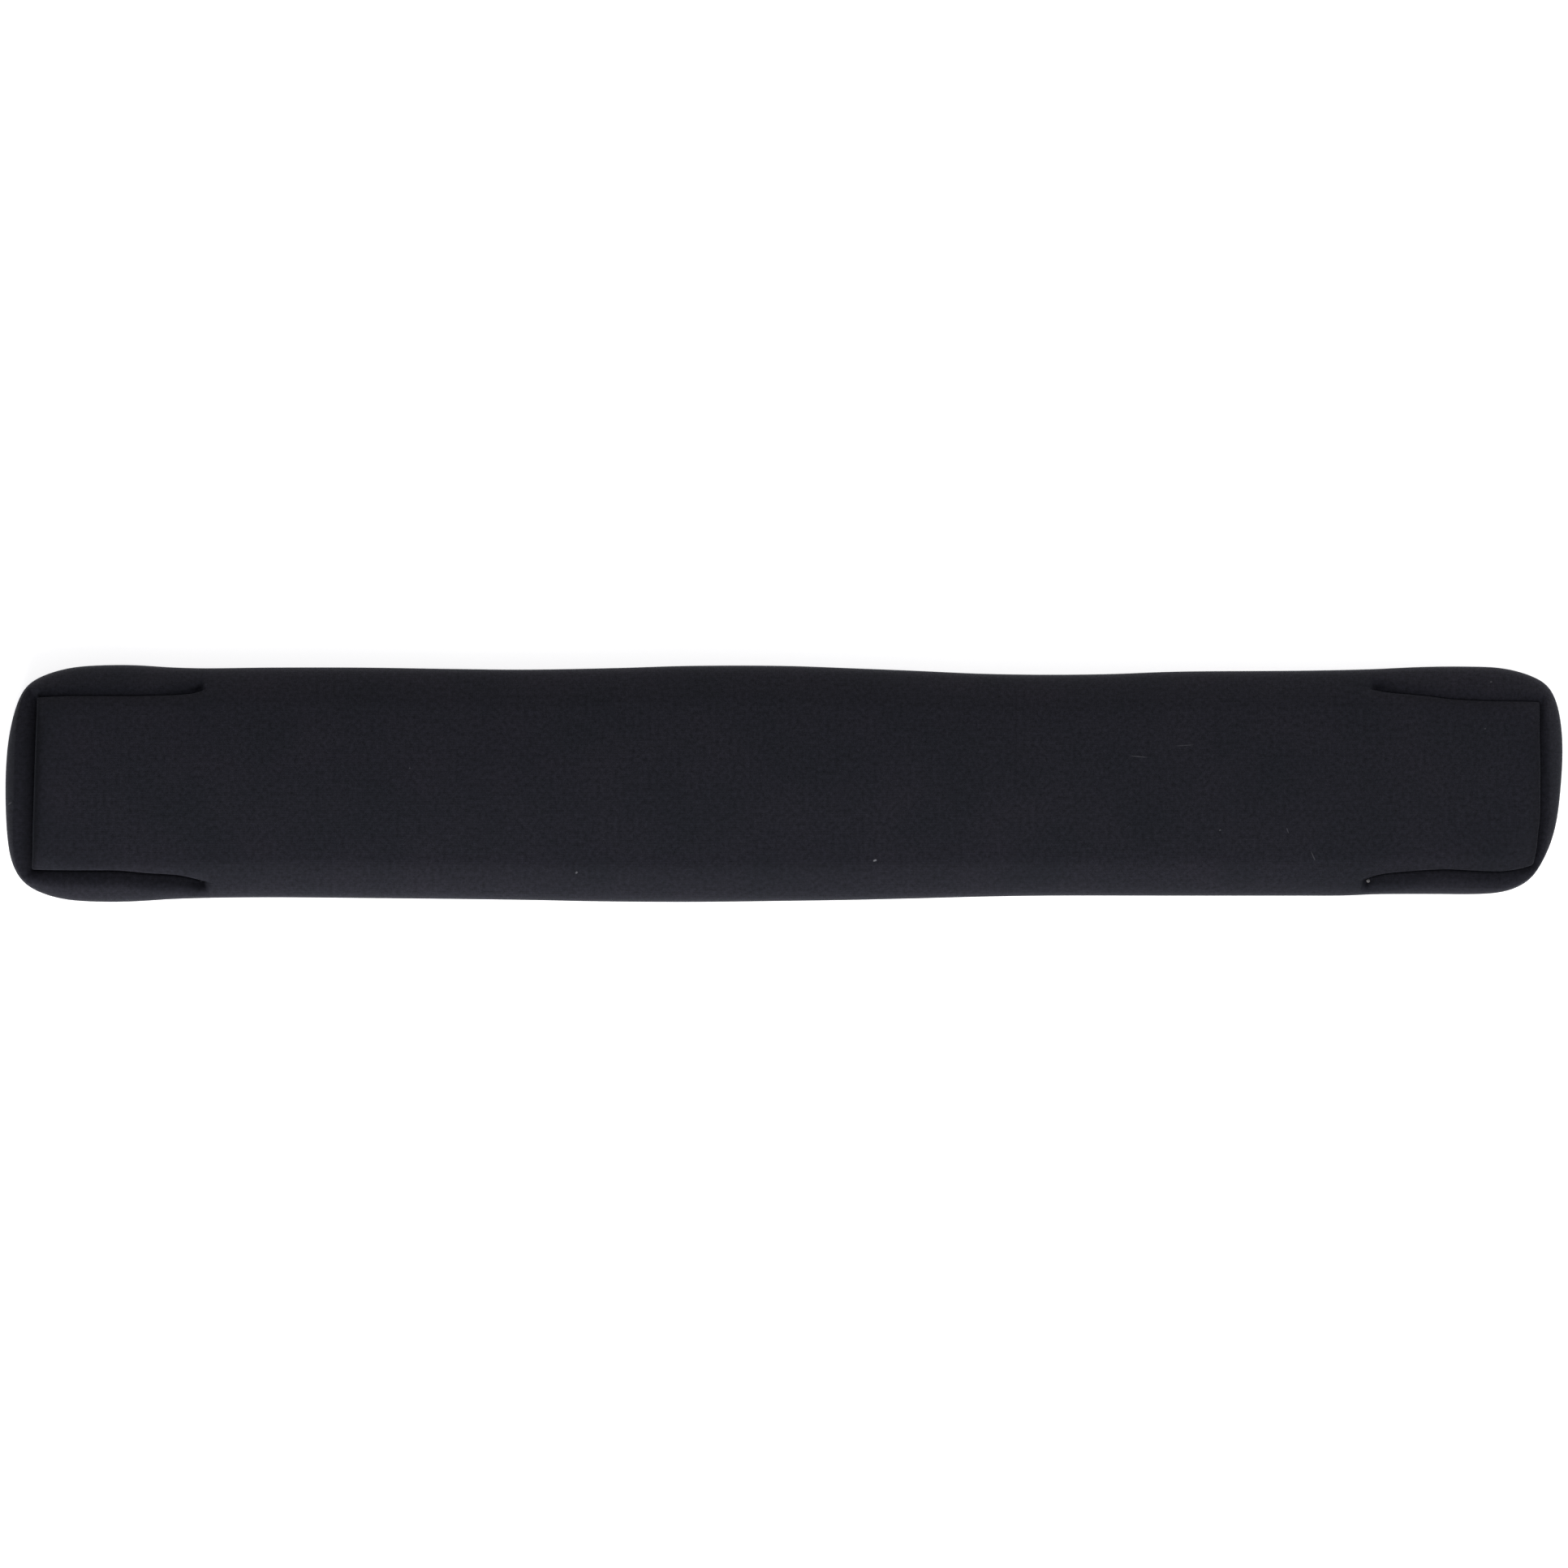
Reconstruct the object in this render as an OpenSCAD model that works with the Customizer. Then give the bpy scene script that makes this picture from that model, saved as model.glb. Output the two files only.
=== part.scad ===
// Keyboard wrist rest: a laminated jersey cover lasted over a two-layer foam
// bar, closed with a bracket-shaped slit at each end, on a non-slip base.
// Millimetres. X runs along the rest, -Y is the user's side, Z is up.
// The origin is the middle of the base's underside.

/* [Overall size] */
// Length over the rolled ends
rest_length = 457; // [300:1:520]
// Width, front edge to back edge
rest_width = 69; // [60:1:90]
// Height of the crown above the desk
rest_height = 20; // [17:0.5:26]
// Plan radius of the four corners
corner_radius = 17; // [15:0.5:20]

/* [Cover] */
// Thickness of the jersey and foam laminate
cover_thickness = 2.4; // [1.6:0.1:3]
// Width of the hem that is turned under the bar
hem_width = 14; // [8:1:16]

/* [End slits] */
// Length of each slit, from its inner end to the end of the tongue
slit_length = 50; // [30:1:80]
// Width of the rolled band outside the tongue
band_width = 8; // [7:0.5:11]
// Gap between the tongue and the band
slit_gap = 0.6; // [0.5:0.1:1]
// Diameter of the dimple that the tack pulls in at each slit's inner end
dimple_d = 2.6; // [2:0.1:3.5]

/* [Foam core] */
// Height of the joint between the firm layer and the soft layer
core_split = 10; // [8:0.5:12]
// Room left between the core and the cover
core_clearance = 0.1; // [0.05:0.05:0.3]

/* [Base] */
// Thickness of the rubber base sheet
base_thickness = 2; // [1:0.5:3]
// How far the base sheet sits in from the outline
base_inset = 5.5; // [5:0.5:8]
// Thickness of the glue film over the base sheet
glue_thickness = 0.2; // [0.1:0.05:0.4]

/* [Stitching] */
// Thread diameter
thread_d = 0.45; // [0.3:0.05:0.48]
// Distance from one closing stitch to the next
stitch_pitch = 3.2; // [2.5:0.1:5]
// Length of each closing stitch
stitch_length = 2.4; // [1.5:0.1:2.4]

/* [Hidden] */

JERSEY = [0.055, 0.058, 0.068];
SOFT_FOAM = [0.86, 0.80, 0.62];
FIRM_FOAM = [0.20, 0.20, 0.21];
RUBBER = [0.045, 0.045, 0.048];
GLUE = [0.78, 0.74, 0.60];
THREAD = [0.03, 0.03, 0.035];

steps_top = 10;
steps_bottom = 6;
cover_bottom = base_thickness + glue_thickness;
equator = cover_bottom + 0.4 * (rest_height - cover_bottom);
hx = rest_length / 2 - corner_radius;
hy = rest_width / 2 - corner_radius;
tongue_x = rest_length / 2 - band_width;
tongue_y = rest_width / 2 - band_width;
slit_x = tongue_x - slit_length;
slit_r = corner_radius - band_width;
hem_x = rest_length / 2 - base_inset - hem_width;
hem_y = rest_width / 2 - base_inset - hem_width;

// Height of the cover's outer face at radius r from a corner's axis.
function face_z(r) =
    equator + (rest_height - equator) * sqrt(1 - pow(r / corner_radius, 2.4));

// Half section of the rest, from the top of the axis out and round to its foot.
function half_section(inset) = let (
        big = corner_radius - inset,
        up = rest_height - equator - inset,
        down = equator - cover_bottom - inset)
    concat(
        [for (i = [0:steps_top]) let (a = 90 - 90 * i / steps_top)
            [big * pow(max(cos(a), 0), 2 / 2.4), equator + up * sin(a)]],
        [for (i = [1:steps_bottom]) let (a = 90 * i / steps_bottom)
            [big * (i == steps_bottom ? 0.72 : 0.72 + 0.28 * cos(a)),
             equator - down * sin(a)]],
        [[0, equator - down]]);

function moved(points, d) = [for (p = points) [p[0] + d, p[1]]];
function flipped(points) =
    [for (i = [len(points) - 1:-1:0]) [-points[i][0], points[i][1]]];

// Rounded bar with the plan of the rest, everywhere inset by the same amount.
module bar(inset = 0) {
    half = half_section(inset);
    rotate([90, 0, 90]) translate([0, 0, -hx])
        linear_extrude(2 * hx)
            polygon(concat(moved(half, hy), flipped(moved(half, hy))));
    for (side = [0, 180]) rotate([0, 0, side]) {
        translate([hx, hy, 0]) rotate([90, 0, 0])
            linear_extrude(2 * hy) polygon(half);
        for (y = [-1, 1]) translate([hx, y * hy, 0])
            rotate([0, 0, y > 0 ? 0 : -90])
                rotate_extrude(angle = 90, $fn = 96) polygon(half);
    }
}

// Bracket-shaped slit that frees the tongue on three sides.
module end_slit() {
    low = equator + 1;
    tall = rest_height;
    for (y = [-1, 1])
        translate([slit_x, y * tongue_y - slit_gap / 2, low])
            cube([slit_length + slit_gap / 2, slit_gap, tall]);
    translate([tongue_x - slit_gap / 2, -tongue_y, low])
        cube([slit_gap, 2 * tongue_y, tall]);
}

module tack_dimple() {
    translate([0, 0, face_z(slit_r) - 0.7]) cylinder(d = dimple_d, h = 8, $fn = 48);
}

module cover() {
    color(JERSEY) difference() {
        bar(0);
        bar(cover_thickness);
        translate([-hem_x, -hem_y, cover_bottom - 1])
            cube([2 * hem_x, 2 * hem_y, cover_thickness + 2]);
        for (side = [0, 180]) rotate([0, 0, side]) {
            end_slit();
            for (y = [-1, 1]) translate([slit_x, y * tongue_y, 0]) tack_dimple();
        }
    }
}

module slab(z0, z1) {
    translate([-rest_length, -rest_width, z0])
        cube([2 * rest_length, 2 * rest_width, z1 - z0]);
}

module comfort_foam() {
    color(SOFT_FOAM) intersection() {
        bar(cover_thickness + core_clearance);
        slab(core_split, rest_height + 5);
    }
}

module support_foam() {
    color(FIRM_FOAM) union() {
        intersection() {
            bar(cover_thickness + core_clearance);
            slab(0, core_split);
        }
        translate([-hem_x + 0.3, -hem_y + 0.3, cover_bottom])
            cube([2 * hem_x - 0.6, 2 * hem_y - 0.6, cover_thickness + 1]);
    }
}

// Flat sheet with round corners.
module sheet(length, width, radius, thick) {
    translate([-length / 2 + radius, -width / 2, 0])
        cube([length - 2 * radius, width, thick]);
    translate([-length / 2, -width / 2 + radius, 0])
        cube([length, width - 2 * radius, thick]);
    for (x = [-1, 1], y = [-1, 1])
        translate([x * (length / 2 - radius), y * (width / 2 - radius), 0])
            cylinder(r = radius, h = thick, $fn = 96);
}

module base_adhesive() {
    color(GLUE) translate([0, 0, base_thickness])
        sheet(rest_length - 2 * base_inset - 2, rest_width - 2 * base_inset - 2,
              corner_radius - base_inset - 1, glue_thickness);
}

module non_slip_base() {
    color(RUBBER)
        sheet(rest_length - 2 * base_inset, rest_width - 2 * base_inset,
              corner_radius - base_inset, base_thickness);
}

// One stitch of thread, lying along X and centred on the origin.
module stitch(length) {
    rotate([0, 90, 0]) cylinder(d = thread_d, h = length, center = true, $fn = 24);
}

// Stitches laid in the slit, halfway down the cover's thickness.
module closing_seam() {
    z = face_z(slit_r) - cover_thickness * 0.6;
    count = floor((slit_length - 5) / stitch_pitch);
    across = floor((2 * tongue_y - 6) / stitch_pitch);
    for (y = [-1, 1], i = [0:count - 1])
        translate([slit_x + 3.5 + i * stitch_pitch, y * tongue_y, z])
            stitch(stitch_length);
    for (i = [0:across])
        translate([tongue_x, (i - across / 2) * stitch_pitch, z])
            rotate([0, 0, 90]) stitch(stitch_length);
}

module left_closing_seam() {
    color(THREAD) rotate([0, 0, 180]) closing_seam();
}

module right_closing_seam() {
    color(THREAD) closing_seam();
}

// Bar tack of three threads across a slit's inner end; x and y are 1 or -1.
module tack(x, y) {
    for (i = [-1:1])
        translate([x * (slit_x - 0.25 + i * 0.55), y * tongue_y,
                   face_z(slit_r) - 0.7 + thread_d / 2 + 0.02])
            rotate([0, 0, 90]) stitch(1.5);
}

module left_front_tack() {
    color(THREAD) tack(-1, -1);
}

module left_back_tack() {
    color(THREAD) tack(-1, 1);
}

module right_front_tack() {
    color(THREAD) tack(1, -1);
}

module right_back_tack() {
    color(THREAD) tack(1, 1);
}

cover();
comfort_foam();
support_foam();
base_adhesive();
non_slip_base();
left_closing_seam();
right_closing_seam();
left_front_tack();
left_back_tack();
right_front_tack();
right_back_tack();
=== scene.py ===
import math

import bpy
import numpy as np
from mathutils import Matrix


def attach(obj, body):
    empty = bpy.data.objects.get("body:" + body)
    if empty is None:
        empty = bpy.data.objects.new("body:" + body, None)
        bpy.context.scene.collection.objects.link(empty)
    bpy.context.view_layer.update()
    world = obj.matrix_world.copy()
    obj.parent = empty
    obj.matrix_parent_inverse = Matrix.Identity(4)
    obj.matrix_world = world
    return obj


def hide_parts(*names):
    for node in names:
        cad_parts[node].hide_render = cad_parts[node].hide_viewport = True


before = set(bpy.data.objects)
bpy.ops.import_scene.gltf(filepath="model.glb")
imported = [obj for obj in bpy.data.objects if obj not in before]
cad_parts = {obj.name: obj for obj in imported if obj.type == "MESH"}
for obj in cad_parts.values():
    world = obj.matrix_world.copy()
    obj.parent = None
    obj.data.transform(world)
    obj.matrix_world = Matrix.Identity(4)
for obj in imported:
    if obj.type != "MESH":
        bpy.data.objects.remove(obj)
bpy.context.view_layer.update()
MM = 0.001

# ---------------------------------------------------------------- heights, mm
Z_EQ = 9.4        # height of the cover's widest line
Z_SHOULDER = 16.7  # height where the rounded edge meets the crowned top
CROWN = 3.3      # how far the middle stands above the shoulder
R_EDGE = 11.5     # width of the rounded edge, seen from above
P_EDGE = 2.25     # its fullness: 2 is an ellipse
Z_FOOT = 2.2      # underside of the cover, on the base's glue film
B_FOOT = 6.2      # how far the cover's foot sits in from its widest line
T_COVER = 2.4     # jersey and foam laminate
HEM_X, HEM_Y = 209.0, 15.0

# ---------------------------------------------------- plan of the rest, mm
# Anticlockwise from the middle of the right end.
OUTLINE = [
    (228.6, 0), (229, 6), (229, 13), (228.4, 19), (227.2, 24.2), (224.7, 28.9),
    (220.1, 31.5), (211.7, 33.8), (201, 34.3), (188, 34.2), (172, 33.5), (153, 33.1),
    (115, 32.8), (96, 32.1), (77, 31.9), (58, 32.2), (39, 33.05), (20, 33.8), (0, 34.5),
    (-28, 34.5), (-48, 33.9), (-76, 33.4), (-97, 33.6), (-124, 34.0), (-152, 34.0),
    (-171, 33.8), (-181, 34.1), (-190, 34.7), (-200, 34.7), (-210, 33.9), (-218.8, 31.2),
    (-222.7, 28.6), (-225.2, 24), (-227.7, 14.3), (-228.7, 4), (-228.7, -9),
    (-227.9, -19), (-226.6, -24.4), (-223.9, -28.9), (-220.2, -31.5), (-212.2, -34.05),
    (-201, -34.9), (-190, -34.75), (-181, -34.15), (-171, -33.8), (-152, -33.6),
    (-124, -33.8), (-76, -34.35), (-56, -34.75), (-28, -34.95), (0, -34.65), (20, -34.35),
    (39, -33.9), (58, -33.4), (77, -33.1), (115, -33.1), (150, -33.1), (166, -33.05),
    (173, -32.7), (191, -32.6), (203, -32.65), (211.2, -32.1), (216.6, -30.3), (220.0, -27.9),
    (222.4, -24.4), (225.0, -19.2), (226.7, -14), (227.8, -8)]
# Line of the slit: back edge and front edge as (x, y), ends as (y, x).
BACK = [(-219.9, 25.9), (-217.5, 26.0), (-209, 26.3), (-191, 26.3), (-180, 26.5), (-174, 27.0),
        (-170.5, 27.9), (-166, 28.5), (-158, 28.6), (-138, 27.0), (0, 26.8), (77, 25.4), (138, 26.4),
        (160, 28.4), (168, 28.7), (172.8, 28.2), (177, 27.4), (189, 26.3), (197, 25.3), (209, 24.8),
        (219, 24.7), (222.7, 24.5)]
FRONT = [(-221.5, -26.1), (-218, -26.2), (-209, -26.3), (-198, -26.3), (-186, -27.2),
         (-178, -27.7), (-174, -28.5), (-169.6, -29.6), (-165, -30.1), (-156, -29.8), (-136, -27.4), (0, -26.8),
         (77, -25.8), (136, -26.8), (158, -29.2), (166, -29.8), (170.2, -29.2), (173, -28.1), (176.5, -27.3), (181, -26.8),
         (195, -26.0), (203, -26.4), (210, -26.6), (215.4, -26.1), (218.6, -25.4), (220.9, -24.6)]
LEFT = [(-26.1, -221.5), (-22.7, -221.3), (-13, -221.05), (-3.6, -220.75), (6, -220.45),
        (14.3, -220.2), (22.7, -219.95), (25.9, -219.9)]
RIGHT = [(-24.6, 220.9), (-19.8, 221.8), (-14, 222.3), (-8.4, 222.8), (3.6, 222.8),
         (15.5, 222.6), (24.5, 222.7)]
TIPS = {"left_back": (-170.8, 27.2), "left_front": (-169.6, -28.9),
        "right_back": (172.8, 27.5), "right_front": (170.6, -28.3)}


def pchip(knots, x):
    """Smooth curve through knots that never overshoots them."""
    k = np.array(knots, float)
    h, m = np.diff(k[:, 0]), np.diff(k[:, 1]) / np.diff(k[:, 0])
    s = np.zeros(len(k))
    inner = (m[:-1] * m[1:]) > 0
    w1, w2 = 2 * h[1:] + h[:-1], h[1:] + 2 * h[:-1]
    safe0, safe1 = np.where(inner, m[:-1], 1.0), np.where(inner, m[1:], 1.0)
    s[1:-1] = np.where(inner, (w1 + w2) / (w1 / safe0 + w2 / safe1), 0)
    s[0], s[-1] = m[0], m[-1]
    i = np.clip(np.searchsorted(k[:, 0], x, side="right") - 1, 0, len(h) - 1)
    t = (x - k[i, 0]) / h[i]
    return (k[i, 1] * (1 + 2 * t) * (1 - t) ** 2 + s[i] * h[i] * t * (1 - t) ** 2
            + k[i + 1, 1] * t * t * (3 - 2 * t) + s[i + 1] * h[i] * t * t * (t - 1))


def smooth01(t):
    t = np.clip(t, 0, 1)
    return t * t * (3 - 2 * t)


def closed_outline(points, count=4096, blur=1.6):
    """The outline as evenly spaced points on a smooth closed curve."""
    p = np.array(points, float)
    out = []
    for i in range(len(p)):
        a, b, c, d = p[i - 1], p[i], p[(i + 1) % len(p)], p[(i + 2) % len(p)]
        t0 = 0.0
        t1 = t0 + np.linalg.norm(b - a) ** 0.5
        t2 = t1 + np.linalg.norm(c - b) ** 0.5
        t3 = t2 + np.linalg.norm(d - c) ** 0.5
        t = np.linspace(t1, t2, 60, endpoint=False)[:, None]
        a1 = (t1 - t) / (t1 - t0) * a + (t - t0) / (t1 - t0) * b
        a2 = (t2 - t) / (t2 - t1) * b + (t - t1) / (t2 - t1) * c
        a3 = (t3 - t) / (t3 - t2) * c + (t - t2) / (t3 - t2) * d
        b1 = (t2 - t) / (t2 - t0) * a1 + (t - t0) / (t2 - t0) * a2
        b2 = (t3 - t) / (t3 - t1) * a2 + (t - t1) / (t3 - t1) * a3
        out.append((t2 - t) / (t2 - t1) * b1 + (t - t1) / (t2 - t1) * b2)
    q = np.vstack(out)
    for _ in range(2):
        seg = np.linalg.norm(np.roll(q, -1, 0) - q, axis=1)
        s = np.concatenate([[0], np.cumsum(seg)])
        u = np.linspace(0, s[-1], count, endpoint=False)
        z = np.interp(u, s, np.append(q[:, 0], q[0, 0])) + 1j * np.interp(u, s, np.append(q[:, 1], q[0, 1]))
        f = np.fft.fftfreq(count, s[-1] / count)
        z = np.fft.ifft(np.fft.fft(z) * np.exp(-0.5 * (2 * np.pi * f * blur) ** 2))
        q = np.stack([z.real, z.imag], 1)
    return q


EDGE = closed_outline(OUTLINE)
EDGE_N = len(EDGE)


def edge_distance(p):
    """How far each plan point lies inside the outline, in mm; negative outside."""
    p = p.reshape(-1, 2)
    coarse = EDGE[::8]
    best = np.empty(len(p), int)
    for a in range(0, len(p), 4000):
        d2 = ((p[a:a + 4000, None] - coarse[None]) ** 2).sum(2)
        best[a:a + 4000] = d2.argmin(1) * 8
    d = np.full(len(p), 1e9)
    sign = np.ones(len(p))
    for k in range(-9, 9):
        i = (best + k) % EDGE_N
        a, b = EDGE[i], EDGE[(i + 1) % EDGE_N]
        ab, ap = b - a, p - a
        t = np.clip((ap * ab).sum(1) / (ab * ab).sum(1), 0, 1)
        gap = np.linalg.norm(ap - ab * t[:, None], axis=1)
        side = np.sign(ab[:, 0] * ap[:, 1] - ab[:, 1] * ap[:, 0])
        near = gap < d
        d, sign = np.where(near, gap, d), np.where(near, side, sign)
    return d * np.where(sign == 0, 1, sign)


def face_z(p, inset=0.0):
    """Height of the upper surface over plan points, for the cover's face or a surface inset from it."""
    shape = p.shape[:-1]
    flat = p.reshape(-1, 2)
    d = edge_distance(flat) - inset
    r, h = R_EDGE - inset, Z_SHOULDER - Z_EQ - inset
    t = 1 - np.clip(d / r, 0, 1)
    z = Z_EQ + h * (1 - t ** P_EDGE) ** (1 / P_EDGE)
    z += CROWN * (1 - np.clip(np.abs(flat[:, 1]) / 34, 0, 1) ** 2.0) * smooth01(d / R_EDGE)
    return z.reshape(shape)


def spread(a, b, stations, step):
    """Positions from a to b whose spacing follows step(x)."""
    x = np.linspace(a, b, 6001)
    c = np.concatenate([[0], np.cumsum(1 / step((x[1:] + x[:-1]) / 2))]) * (x[1] - x[0])
    n = stations or int(round(c[-1]))
    return np.interp(np.linspace(0, c[-1], n + 1), c, x)


def x_step(x):
    base = np.where(np.abs(x) > 160, 1.25, 2.0)
    tip = 0.42 + np.abs(np.abs(x) - 171.2) * 0.16
    corner = 0.4 + np.abs(221.5 - np.abs(x)) * 0.16
    return np.minimum(base, np.minimum(np.maximum(tip, 0.42), np.maximum(corner, 0.4)))


def y_step(y):
    return np.minimum(1.4, 0.4 + np.abs(25 - np.abs(y)) * 0.16)


class Ring:
    """The line of the slit all round the rest, with a ray from each point out to the outline."""

    def __init__(self, fine=1.0, steps=None):
        sx = steps[0] if steps else lambda x: x_step(x) * fine
        sy = steps[1] if steps else lambda y: y_step(y) * fine
        self.xs = spread(-1, 1, None, lambda t: sx(t * 221.3) / 221.3)
        self.ys = spread(-1, 1, None, lambda t: sy(t * 25) / 25)
        nx, ny = len(self.xs) - 1, len(self.ys) - 1
        self.nx, self.ny = nx, ny

        def span(knots, t):
            a, b = knots[0][0], knots[-1][0]
            return a + (b - a) * (t + 1) / 2
        xb, xf = span(BACK, self.xs), span(FRONT, self.xs)
        yl, yr = span(LEFT, self.ys), span(RIGHT, self.ys)
        back = np.stack([xb, pchip(BACK, xb)], 1)
        front = np.stack([xf, pchip(FRONT, xf)], 1)
        left = np.stack([pchip(LEFT, yl), yl], 1)
        right = np.stack([pchip(RIGHT, yr), yr], 1)
        # anticlockwise from the right front corner
        self.c = np.vstack([right[:-1], back[::-1][:-1], left[::-1][:-1], front[:-1]])
        self.n = len(self.c)
        self.side = np.concatenate([np.full(ny, 0), np.full(nx, 1), np.full(ny, 2), np.full(nx, 3)])
        self.corner = np.array([0, ny, ny + nx, 2 * ny + nx])
        base = np.array([0.0, 90.0, 180.0, 270.0])
        ang = base[self.side]
        turn = 15.0
        for k, i0 in enumerate(self.corner):
            here = self.c[i0]
            mid = base[k] - 45
            q = np.linalg.norm(self.c - here, axis=1)
            near = q < turn
            w = 1 - smooth01(q / turn)
            after = near & (self.side == k)
            before = near & (self.side == (k - 1) % 4)
            ang = np.where(after, base[k] - 45 * w, ang)
            ang = np.where(before, base[(k - 1) % 4] + 45 * w, ang)
        self.ang = ang
        rad = np.radians(ang)
        self.dir = np.stack([np.cos(rad), np.sin(rad)], 1)
        self.square = 1 / np.clip(np.cos(np.radians(ang - base[self.side])), 0.6, 1)
        # soften the slit's corners
        for _ in range(2):
            w = np.zeros(self.n)
            for i0 in self.corner:
                q = np.linalg.norm(self.c - self.c[i0], axis=1)
                w = np.maximum(w, 1 - smooth01(q / 1.2))
            mean = (np.roll(self.c, 1, 0) + np.roll(self.c, -1, 0)) / 2
            self.c = self.c + (mean - self.c) * (w * 0.5)[:, None]
        self.c = self.c - self.dir * self.square[:, None] * np.array([0.6, 0.72])
        # distance along each ray to the outline
        a = EDGE[::2]
        b = np.roll(a, -1, 0)
        ab = b - a
        self.reach = np.empty(self.n)
        for i in range(self.n):
            p, v = self.c[i], self.dir[i]
            den = v[0] * ab[:, 1] - v[1] * ab[:, 0]
            den = np.where(np.abs(den) < 1e-12, 1e-12, den)
            ap = a - p
            t = (ap[:, 0] * ab[:, 1] - ap[:, 1] * ab[:, 0]) / den
            s = (ap[:, 0] * v[1] - ap[:, 1] * v[0]) / den
            ok = (t > 0) & (s >= -1e-9) & (s <= 1 + 1e-9)
            self.reach[i] = t[ok].min()
        self.rim = self.c + self.dir * self.reach[:, None]
        tangent = np.roll(self.rim, -1, 0) - np.roll(self.rim, 1, 0)
        tangent /= np.linalg.norm(tangent, axis=1)[:, None]
        self.out = np.stack([tangent[:, 1], -tangent[:, 0]], 1)
        self.settings()

    def settings(self):
        """How deep and wide the crease is at each point of the line."""
        x, y = self.c[:, 0], self.c[:, 1]
        back, front = self.side == 1, self.side == 3
        lb, lf, rb, rf = (TIPS[k] for k in ("left_back", "left_front", "right_back", "right_front"))
        tip = np.where(x < 0, np.where(y > 0, lb[0], lf[0]), np.where(y > 0, rb[0], rf[0]))
        past = np.where(x < 0, tip - x, x - tip)  # how far past the slit's inner end, towards the rest's end
        self.past = past
        ends = (self.side == 0) | (self.side == 2)
        self.a = np.where(ends, 1.0, smooth01((past + 0.9) / 1.8))
        left = x < 0
        tipward = lambda reach: np.exp(-(np.clip(past, 0, None) / reach) ** 2)
        depth = np.full(self.n, 2.7)
        width = np.full(self.n, 3.0)
        drop = np.full(self.n, 0.3)
        for where, d, w, dr, d2, w2, dr2, reach in (
                (left & ends, 4.4, 5.9, 0.3, 0, 0, 0, 1),
                (left & front, 3.6, 5.0, 0.3, 0.8, 0.4, 0.3, 13),
                (left & back, 2.2, 2.9, 0.25, 0.9, 0.4, 0.3, 7),
                (~left & back, 2.0, 3.0, 0.25, 0.9, 0.5, 0.3, 9),
                (~left & front, 3.3, 5.0, 0.3, 0.3, 0.2, 0.2, 8),
                (~left & ends, 2.9, 2.7, 0.25, 0, 0, 0, 1)):
            depth = np.where(where, d + d2 * tipward(reach), depth)
            width = np.where(where, w + w2 * tipward(reach), width)
            drop = np.where(where, dr + dr2 * tipward(reach), drop)
        k = np.ones(9) / 9
        for name, v in (("depth", depth), ("width", width), ("drop", drop)):
            wrapped = np.concatenate([v[-8:], v, v[:8]])
            setattr(self, name, np.convolve(np.convolve(wrapped, k, "same"), k, "same")[8:-8])
        self.width = np.minimum(self.width, self.reach * 0.86)
        self.depth = np.minimum(self.depth, face_z(self.c) - dips(self.c) - 11.4 - self.drop)
        self.roll = np.where(back, 0.75, np.where(left & ends, 0.7, np.where(ends, 0.5, 0.3)))
        self.sink = np.where(back, 0.95, np.where(left & ends, 1.55, 0.5))
        self.curl = np.where(left & ends, 1.08, 1.25)
        # painted shade along the crease, on the band and on the tongue: how much the cloth's colour and specular are
        # darkened there
        self.painted_shade_band = np.where(left & ends, 0.5, np.where(~left & (ends | front), 0.11, 0.0))
        self.painted_shade_tongue = np.where(left & ends, 0.74, np.where(ends, 0.3, np.where(back | ~left, 0.2, 0.0)))
        for name in ("roll", "sink", "curl", "painted_shade_band", "painted_shade_tongue"):
            v = getattr(self, name)
            wrapped = np.concatenate([v[-8:], v, v[:8]])
            setattr(self, name, np.convolve(np.convolve(wrapped, k, "same"), k, "same")[8:-8])

    def press(self, e):
        """How far the crease pushes the layers under it down."""
        return self.a * (self.depth * 0.6 + 0.5 * self.drop + 0.5) * np.exp(-((e - 0.6) / 2.6) ** 2)


def coons(ring, boundary):
    """Grid of plan points whose border is the closed ring of boundary points."""
    nx, ny = ring.nx, ring.ny
    right = boundary[0:ny + 1]
    back = boundary[ny:ny + nx + 1][::-1]
    left = boundary[ny + nx:2 * ny + nx + 1][::-1]
    front = np.vstack([boundary[2 * ny + nx:], boundary[:1]])
    u = ((ring.xs + 1) / 2)[:, None, None]
    v = ((ring.ys + 1) / 2)[None, :, None]
    dim = boundary.shape[1]
    f, bk = front.reshape(nx + 1, 1, dim), back.reshape(nx + 1, 1, dim)
    lf, rt = left.reshape(1, ny + 1, dim), right.reshape(1, ny + 1, dim)
    p00, p10, p01, p11 = front[0], front[-1], back[0], back[-1]
    return ((1 - v) * f + v * bk + (1 - u) * lf + u * rt
            - ((1 - u) * (1 - v) * p00 + u * (1 - v) * p10 + (1 - u) * v * p01 + u * v * p11))


def grid_index(ring, start):
    """Vertex numbers of a grid whose border is a ring of vertices numbered from start, and whose
    inside follows at start + ring.n. Returns the (nx+1, ny+1) table."""
    nx, ny = ring.nx, ring.ny
    g = np.zeros((nx + 1, ny + 1), int)
    i = np.arange(ring.n) + start
    g[nx, :] = np.append(i[0:ny], i[ny])
    g[:, ny] = np.append(i[ny:ny + nx], i[ny + nx])[::-1]
    g[0, :] = np.append(i[ny + nx:2 * ny + nx], i[2 * ny + nx])[::-1]
    g[:, 0] = np.append(i[2 * ny + nx:], i[0])
    return g


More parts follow.
